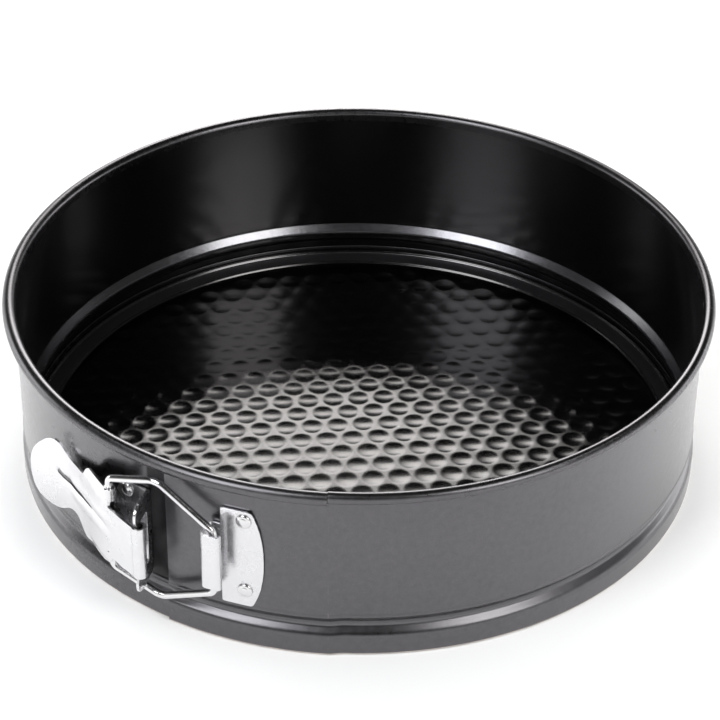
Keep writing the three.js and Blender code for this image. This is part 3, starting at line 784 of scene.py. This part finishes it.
UP = [(-54.9, 38.4), (-54.75, 40.6), (-54.1, 43.4), (-53.0, 45.9), (-50.7, 49.0), (-47.6, 51.7), (-45.4, 52.8), (-43.1, 53.1), (-41.0, 52.7), (-39.4, 51.9), (-36.9, 50.2), (-35.0, 49.4), (-33.0, 49.0), (-29.5, 48.9), (-26.6, 49.2), (-25.2, 49.7), (-24.3, 50.8), (-23.7, 52.4), (-23.0, 53.4), (-21.8, 54.1), (-18.0, 54.6), (-13.8, 54.8), (-10.2, 54.6), (-7.35, 54.3), (-7.05, 48.35), (7.5, 48.25)]
LOW = [(-54.9, 34.6), (-54.75, 32.6), (-54.3, 30.2), (-53.5, 27.9), (-52.0, 25.6), (-49.6, 23.8), (-47.0, 22.8), (-44.5, 22.4), (-42.5, 22.7), (-40.5, 23.6), (-38.0, 25.2), (-35.8, 26.1), (-33.6, 26.3), (-31.8, 25.9), (-30.2, 24.8), (-28.8, 23.3), (-27.0, 21.9), (-24.6, 20.9), (-21.5, 20.5), (-17.8, 20.5), (-12.3, 21.0), (-9.0, 22.2), (-6.9, 24.3), (-5.6, 26.3), (-4.6, 26.55), (7.5, 26.55)]
line = catmull(LINE)[::-1]  # from the thumb tab to the barrel
SLIT_X = np.concatenate([[-42.0, -41.9, -41.7, -41.4, -41.0], np.linspace(-40.4, -18.6, 19)])


def slit_half(x):
    """Half the height of the tapered slit, rounded at its wide end; a hair's breadth outside it."""
    if x <= SLIT_X[0] or x >= SLIT_X[-1]:
        return 0.05
    w = np.interp(x, [-42.0, -38, -33, -26, -20.5, -18.6], [1.1, 1.15, 1.0, 0.76, 0.5, 0.12])
    return max(0.05, float(w) * math.sqrt(max(0.0, 1 - max(0.0, (-41.0 - x) / 1.0) ** 2)))


keep_x = line[:, 0] >= -54.9
line = line[keep_x]
seglen = np.r_[0, np.cumsum(np.linalg.norm(np.diff(line, axis=0), axis=1))]
total = seglen[-1]
s_even = np.linspace(0, total, 118)
xs = np.interp(s_even, seglen, line[:, 0])
# extra columns at the ear's square end
xs = np.unique(np.concatenate([xs, [-7.35, -7.05, -54.9, -54.75, -54.3]]))
plan = np.stack([xs, np.interp(xs, line[:, 0], line[:, 1])], 1)
# the sheet's end rolls round the pin
roll_r = 2.08
roll = [A + np.array([0.55, -0.1]) + roll_r * np.array([math.cos(math.radians(a)), math.sin(math.radians(a))]) for a in np.arange(-138, 176, 13.0)]
flat_end = roll[0][0] - 0.35
xs = np.unique(np.concatenate([xs, SLIT_X]))
plan = np.stack([xs, np.interp(xs, line[:, 0], line[:, 1])], 1)
plan = np.vstack([plan[plan[:, 0] < flat_end], roll])
n_sheet = len(plan) - len(roll)
tang = np.gradient(plan, axis=0)
tang /= np.linalg.norm(tang, axis=1)[:, None]
outn = np.stack([tang[:, 1], -tang[:, 0]], 1)  # away from the pan on the lever's straight part
half_rows = np.concatenate([[0.0, 0.35, 0.9], np.linspace(1.7, 10.0, 24)]) / 10.0  # from the slit out to an edge
nt = 2 * len(half_rows)
V = []
for i, (p, q) in enumerate(zip(plan, outn)):
    x = p[0] if i < n_sheet else 7.0
    zu = np.interp(x, [a for a, _ in UP], [b for _, b in UP])
    zl = np.interp(x, [a for a, _ in LOW], [b for _, b in LOW])
    zc = np.interp(x, [-54.9, -48, -42.5, -41.2, -39.2, -37.3, -34, -30.6, -25, -19, -12, -4, 7], [36.5, 38.6, 40.9, 40.6, 39.2, 38.1, 37.2, 36.9, 37.5, 38.6, 39.4, 38.2, 37.4])
    hw = slit_half(x)
    column = [zc - hw - f * (zc - hw - zl) for f in half_rows[::-1]] + [zc + hw + f * (zu - zc - hw) for f in half_rows]
    for z in column:
        d = 0.0
        if i < n_sheet:
            # the thumb tab is domed
            rx, rz = (x + 45.5) / 9.6, (z - 37.7) / 15.6
            q2 = rx * rx + rz * rz
            d += 1.7 * max(0.0, 1 - q2) ** 1.1 * float(smooth(x, -34, -40))
            # the slit's edges are pressed in, and a crease runs on from its end
            dep = 0.45 * float(smooth(x, -43.6, -41.0)) * np.interp(x, [-41, -18, -10, -5], [1.0, 1.0, 0.6, 0.0])
            d -= dep * math.exp(-((max(0.0, abs(z - zc) - hw) / 0.75) ** 2))
            d += 0.4 * math.exp(-(((z - zc - 3.2) / 2.0) ** 2)) * float(smooth(x, -38, -30)) * float(smooth(x, -4, -12))
            d += 0.4 * math.exp(-(((z - zc + 3.2) / 2.0) ** 2)) * float(smooth(x, -38, -30)) * float(smooth(x, -4, -12))
            # the ears lean towards the wall
            d -= 1.1 * float(smooth(abs(z - 37.6), 12.2, 17.5)) * float(smooth(x, -26, -22)) * float(smooth(x, 0, -7))
        V.append([p[0] + q[0] * d, p[1] + q[1] * d, z])
slit_row = len(half_rows) - 1


def beside_slit(i, j):
    return not (j == slit_row and i + 1 < n_sheet and SLIT_X[0] - 0.01 <= plan[i][0] and plan[i + 1][0] <= SLIT_X[-1] + 0.01)


lever_sheet = sheet("lever_sheet", V, grid_faces(len(plan), nt, 0, beside_slit), 0.8, STEEL, 0.09)


def knuckle(name, z0, z1):
    pts = [B + 1.86 * np.array([math.cos(math.radians(a)), math.sin(math.radians(a))]) for a in np.arange(-112, 200, 13.0)]
    V = [[p[0], p[1], z] for z in np.linspace(z0, z1, 6) for p in pts]
    return sheet(name, V, grid_faces(6, len(pts)), 0.68, STEEL, 0.1)


kn = [knuckle("kn_u", 50.4, 55.6), knuckle("kn_l", 24.2, 28.0)]
lever = join("latch_lever_pressed", [lever_sheet] + kn)
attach(lever, "lever")
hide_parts("latch_lever")

# ------------------------------------------------------------------ bail
mid = B + (C - B) * 0.47


def at(p, z):
    return np.array([p[0], p[1], z])


path = fillet(
    [at(B, 50.2), at(B, 59.3), at(mid, 65.5), at(C, 51.9), at(C, 24.9), at(mid, 14.5), at(B, 21.1), at(B, 28.2)],
    [0, 2.6, 7.0, 3.2, 3.0, 7.0, 2.6, 0],
    9,
)
dense = [path[0]]
for a, b in zip(path[:-1], path[1:]):
    k = max(1, int(np.linalg.norm(b - a) / 1.6))
    dense += [a + (b - a) * f / k for f in range(1, k + 1)]
bail = tube("wire_bail_bent", dense, WIRE_R, WIRE)
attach(bail, "bail")
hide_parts("wire_bail")

# ------------------------------------------------------------------ catch bracket
CB = R_WALL + LAP + 0.3 + 0.4
zr = np.concatenate(
    [np.linspace(18.0, 19.2, 5), np.linspace(19.9, 28.7, 10), np.linspace(28.7, 51.9, 26)[1:], np.linspace(51.9, 57.4, 8)[1:], np.linspace(58.0, 59.2, 5)]
)
cols = 16
V = []
for z in zr:
    e = min(z - 18.0, 59.2 - z)
    lo = -75.65 + math.degrees(corner(e, 0.7) / CB)
    hi = np.interp(z, [18.0, 20.2, 22.6, 26, 30, 34, 38.6, 43, 47, 51, 54.5, 57, 59.2], [-70.75, -70.3, -69.9, -69.45, -69.13, -68.95, -68.9, -68.95, -69.13, -69.45, -69.9, -70.3, -70.75])
    hi -= math.degrees(corner(e, 0.9) / CB)
    for j in range(cols):
        p = pol(CB, lo + (hi - lo) * j / (cols - 1))
        V.append([p[0], p[1], z])
F = grid_faces(len(zr), cols)
n_, t_ = pol(1, -76.3), pol(1, -76.3 + 90)
u0 = CB * math.sin(math.radians(0.65))
s0 = CB * math.cos(math.radians(0.65)) - R_WALL
curl = fillet([(u0, s0), (-2.85, 1.55), (-2.85, 9.5), (3.7, 9.5), (4.2, 8.1)], [0, 2.3, 1.9, 1.1, 0], 8)
dense = [curl[0]]
for a, b in zip(curl[:-1], curl[1:]):
    k = max(1, int(np.linalg.norm(b - a) / 0.9))
    dense += [a + (b - a) * f / k for f in range(1, k + 1)]
curl = np.array(dense)[1:]
hook_rows = [i for i, z in enumerate(zr) if 28.7 - 1e-6 <= z <= 51.9 + 1e-6]
start = len(V)
nc = len(curl)
for i in hook_rows:
    for u, so in curl:
        p = n_ * (R_WALL + so) + t_ * u
        V.append([p[0], p[1], zr[i]])
for a, (i, i2) in enumerate(zip(hook_rows[:-1], hook_rows[1:])):
    F.append((i * cols, start + a * nc, start + (a + 1) * nc, i2 * cols)[::-1])
    for j in range(nc - 1):
        F.append((start + a * nc + j, start + a * nc + j + 1, start + (a + 1) * nc + j + 1, start + (a + 1) * nc + j)[::-1])
catch = sheet("catch_bracket_pressed", V, F, 0.8, STEEL, 0.12)
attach(catch, "ring_right")
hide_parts("catch_bracket")

# ------------------------------------------------------------------ floor, lights, camera
VIEW = Vector((0.47030, -0.67166, 0.57243))
RIGHT = Vector((0.81497, 0.57941, 0.01028))
UPV = Vector((-0.33858, 0.46168, 0.81989))
cam_data = bpy.data.cameras.new("camera")
cam_data.lens, cam_data.sensor_width = 120.585, 36.0
cam_data.clip_start, cam_data.clip_end = 0.01, 50
cam = bpy.data.objects.new("camera", cam_data)
cam.matrix_world = Matrix(
    (
        (RIGHT.x, UPV.x, VIEW.x, 0.437809),
        (RIGHT.y, UPV.y, VIEW.y, -0.624619),
        (RIGHT.z, UPV.z, VIEW.z, 0.566986),
        (0, 0, 0, 1),
    )
)
bpy.context.scene.collection.objects.link(cam)
bpy.context.scene.camera = cam

fm = Mat("studio_floor")
fm.set(Base_Color=fm.mix(fm.noise(6.0), (0.90, 0.90, 0.90), (0.93, 0.93, 0.93)), Roughness=0.75)
fm.set(Normal=fm.bump(fm.noise(300.0), 0.05, 0.0001))
fg = fm.n("ShaderNodeNewGeometry")
fl = fm.n("ShaderNodeLightPath")
clear_ = fm.n("ShaderNodeBsdfTransparent")
fmix = fm.n("ShaderNodeMixShader")
fout = [n for n in fm.m.node_tree.nodes if n.type == "OUTPUT_MATERIAL"][0]
fm.link(fm.math("MULTIPLY", fg.outputs["Backfacing"], fl.outputs["Is Camera Ray"]), fmix.inputs[0])
fm.link(fm.p.outputs[0], fmix.inputs[1])
fm.link(clear_.outputs[0], fmix.inputs[2])
fm.link(fmix.outputs[0], fout.inputs[0])
bpy.ops.mesh.primitive_plane_add(size=9.0, location=(0, 0, -0.0003))
floor = bpy.context.object
floor.name = "studio_floor"
floor.data.materials.append(fm.m)

PANEL_SIDE = 1.0
toward = Vector((VIEW.x, VIEW.y, 0)).normalized()


def area(name, azimuth, distance, height, aim, w, h, radiance, colour, fade=None):
    """azimuth is measured from the camera's side, anticlockwise."""
    d = Matrix.Rotation(math.radians(azimuth), 3, "Z") @ toward
    loc = Vector((d.x * distance, d.y * distance, height))
    la = bpy.data.lights.new(name, "AREA")
    la.shape, la.size, la.size_y = "RECTANGLE", w, h
    la.energy = radiance * math.pi * w * h
    la.color = colour
    if fade:
        # the panel's light falls off softly towards its two sides
        la.use_nodes = True
        nt = la.node_tree
        em = [n for n in nt.nodes if n.type == "EMISSION"][0]
        geo = nt.nodes.new("ShaderNodeNewGeometry")
        side = Vector((-d.y, d.x, 0.0))
        dot = nt.nodes.new("ShaderNodeVectorMath")
        dot.operation = "DOT_PRODUCT"
        nt.links.new(geo.outputs["Position"], dot.inputs[0])
        dot.inputs[1].default_value = side
        centre, reach = fade
        off = nt.nodes.new("ShaderNodeMath")
        off.operation = "SUBTRACT"
        nt.links.new(dot.outputs["Value"], off.inputs[0])
        off.inputs[1].default_value = centre
        mag = nt.nodes.new("ShaderNodeMath")
        mag.operation = "ABSOLUTE"
        nt.links.new(off.outputs[0], mag.inputs[0])
        ramp = nt.nodes.new("ShaderNodeMapRange")
        ramp.interpolation_type = "SMOOTHSTEP"
        nt.links.new(mag.outputs[0], ramp.inputs[0])
        ramp.inputs[1].default_value, ramp.inputs[2].default_value = 0.03, reach
        ramp.inputs[3].default_value, ramp.inputs[4].default_value = 1.0, 0.0
        nt.links.new(ramp.outputs[0], em.inputs["Strength"])
    ob = bpy.data.objects.new(name, la)
    ob.location = loc
    ob.rotation_mode = "QUATERNION"
    ob.rotation_quaternion = (Vector(aim) - loc).to_track_quat("-Z", "Y")
    ob.visible_camera = False
    bpy.context.scene.collection.objects.link(ob)
    return ob


area("softbox_left", -46, 1.05, 1.16, (0, 0, 0.03), 0.60, 1.00, 5.8, (0.965, 0.98, 1.0))
area("softbox_right", 45, 1.25, 1.00, (0, 0, 0.03), 0.62, 0.78, 5.4, (0.99, 0.985, 0.97))
area("side_left", -112, 1.25, 0.30, (0, 0, 0.04), 0.70, 0.50, 2.2, (1.0, 1.0, 1.0))
area("side_right", 112, 1.25, 0.24, (0, 0, 0.04), 0.70, 0.36, 2.4, (1.0, 1.0, 1.0))
for tag, az, out, power in (("right", 84, 0.58, 2.4), ("left", -82, 0.54, 1.1)):
    # brightens the sweep beside the pan, and is shielded from the pan itself
    ground = Matrix.Rotation(math.radians(az), 3, "Z") @ toward
    area("ground_" + tag, az, out + 0.12, 0.62, (ground.x * out, ground.y * out, 0), 0.46, 0.46, power, (0.99, 0.99, 1.0)).data.spread = math.radians(58)
area("back_panel", 180, 0.95, 0.49, (0, 0, 0.49), 0.90, 0.586, 7.0, (1.0, 0.985, 0.965), (PANEL_SIDE * 0.067, 0.37))

world = bpy.data.worlds.new("studio")
bpy.context.scene.world = world
world.use_nodes = True
nt_ = world.node_tree
nt_.nodes.clear()
w_out = nt_.nodes.new("ShaderNodeOutputWorld")
tc = nt_.nodes.new("ShaderNodeTexCoord")
sep = nt_.nodes.new("ShaderNodeSeparateXYZ")
nt_.links.new(tc.outputs["Generated"], sep.inputs[0])
ramp = nt_.nodes.new("ShaderNodeValToRGB")
ramp.color_ramp.interpolation = "EASE"
for pos, v in ((0.0, 1.1), (0.16, 0.75), (0.36, 0.07), (0.6, 0.012)):
    e = ramp.color_ramp.elements.new(pos) if pos not in (0.0,) else ramp.color_ramp.elements[0]
    e.position = pos
    e.color = (v, v, v * 0.995, 1)
ramp.color_ramp.elements[-1].color = (0.012, 0.012, 0.012, 1)
nt_.links.new(sep.outputs[2], ramp.inputs[0])
shaped = nt_.nodes.new("ShaderNodeBackground")
nt_.links.new(ramp.outputs[0], shaped.inputs[0])
even = nt_.nodes.new("ShaderNodeBackground")
even.inputs[0].default_value = (1, 1, 1, 1)
even.inputs[1].default_value = 0.66
lp = nt_.nodes.new("ShaderNodeLightPath")
mixw = nt_.nodes.new("ShaderNodeMixShader")
nt_.links.new(lp.outputs["Is Glossy Ray"], mixw.inputs[0])
nt_.links.new(even.outputs[0], mixw.inputs[1])
nt_.links.new(shaped.outputs[0], mixw.inputs[2])
nt_.links.new(mixw.outputs[0], w_out.inputs[0])

scene = bpy.context.scene
scene.view_settings.view_transform = "Standard"
scene.view_settings.look = "None"
